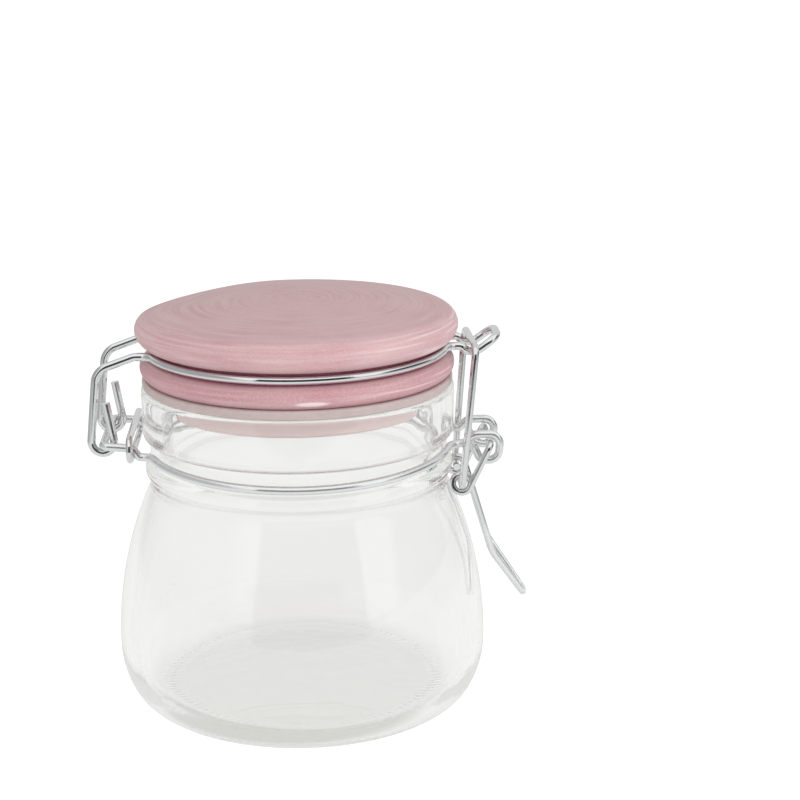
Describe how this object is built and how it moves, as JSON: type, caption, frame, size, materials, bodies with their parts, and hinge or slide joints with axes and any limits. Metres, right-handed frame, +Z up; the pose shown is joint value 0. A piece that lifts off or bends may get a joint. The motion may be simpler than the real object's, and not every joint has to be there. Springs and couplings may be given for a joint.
{
  "type": "preserving jar",
  "caption": "Clip-top glass preserving jar with a glazed stoneware lid, a rubber gasket and a sprung wire closure, shown shut.",
  "frame": {"origin": "in the plane the jar stands on, in the middle of the whole's length along X and width along Y; the jar's own axis is vertical and crosses the plane 3.6 mm towards the hinge", "axes": "+Z up along the jar's axis, +X towards the latch, -X towards the hinge, +Y to the rear"},
  "size_m": [0.1226, 0.105, 0.1151],
  "materials": {
    "glass": "clear",
    "stoneware": "glazed stoneware",
    "rubber": "satin",
    "steel": "polished"
  },
  "bodies": {
    "root": {"jar": "glass", "gasket": "rubber", "lid": "stoneware", "lid_wire": "steel", "neck_wire_front": "steel", "neck_wire_rear": "steel", "link": "steel", "lever": "steel", "yoke": "steel"}
  },
  "joints": []
}
